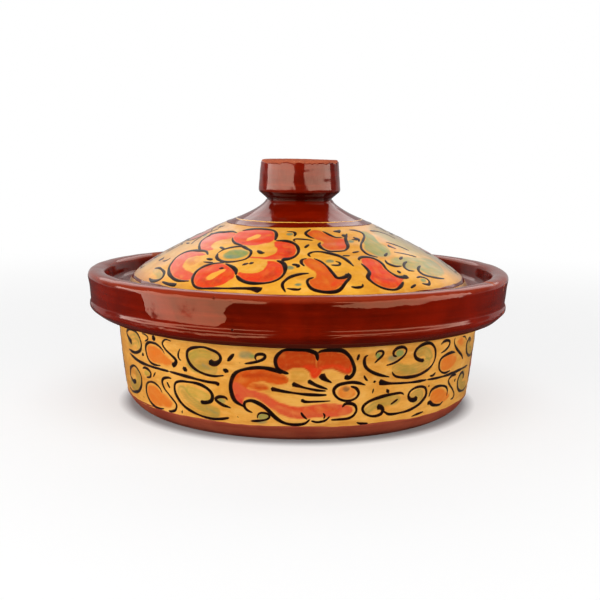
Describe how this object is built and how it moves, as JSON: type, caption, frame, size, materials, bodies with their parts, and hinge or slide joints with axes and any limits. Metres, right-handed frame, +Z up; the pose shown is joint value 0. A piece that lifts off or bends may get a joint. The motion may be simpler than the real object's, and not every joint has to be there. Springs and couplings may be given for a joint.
{
  "type": "tagine pot",
  "caption": "Glazed clay cooking dish with a deep collar and a painted conical lid that lifts off by its knob.",
  "frame": {"origin": "centre of the dish's flat foot, on the surface that the pot stands on", "axes": "+Z up along the turning axis through foot and knob; the front of the painted ornament faces -Y, and +X is to its right"},
  "size_m": [0.3, 0.3, 0.173],
  "materials": {
    "clay": "bare fired earthenware, matte",
    "foot_slip": "thin glazed slip, satin",
    "yellow_slip": "painted slip under clear glaze, glossy",
    "brown_glaze": "red-brown lead-like glaze, glossy",
    "inner_glaze": "red-brown glaze, glossy"
  },
  "bodies": {
    "dish": {"dish_body": "clay", "dish_foot_band": "foot_slip", "dish_painted_band": "yellow_slip", "dish_glaze": "brown_glaze"},
    "lid": {"lid_body": "clay", "lid_edge_lip": "yellow_slip", "lid_edge_line": "brown_glaze", "lid_painted_band": "yellow_slip", "lid_neck_line": "yellow_slip", "lid_neck_glaze": "brown_glaze", "lid_inner_glaze": "inner_glaze", "knob": "clay", "knob_glaze": "brown_glaze"}
  },
  "joints": [
    {"name": "lid_lift", "type": "slide", "parent": "dish", "child": "lid", "axis": [0, 0, 1], "range_m": [0, 0.15]}
  ]
}
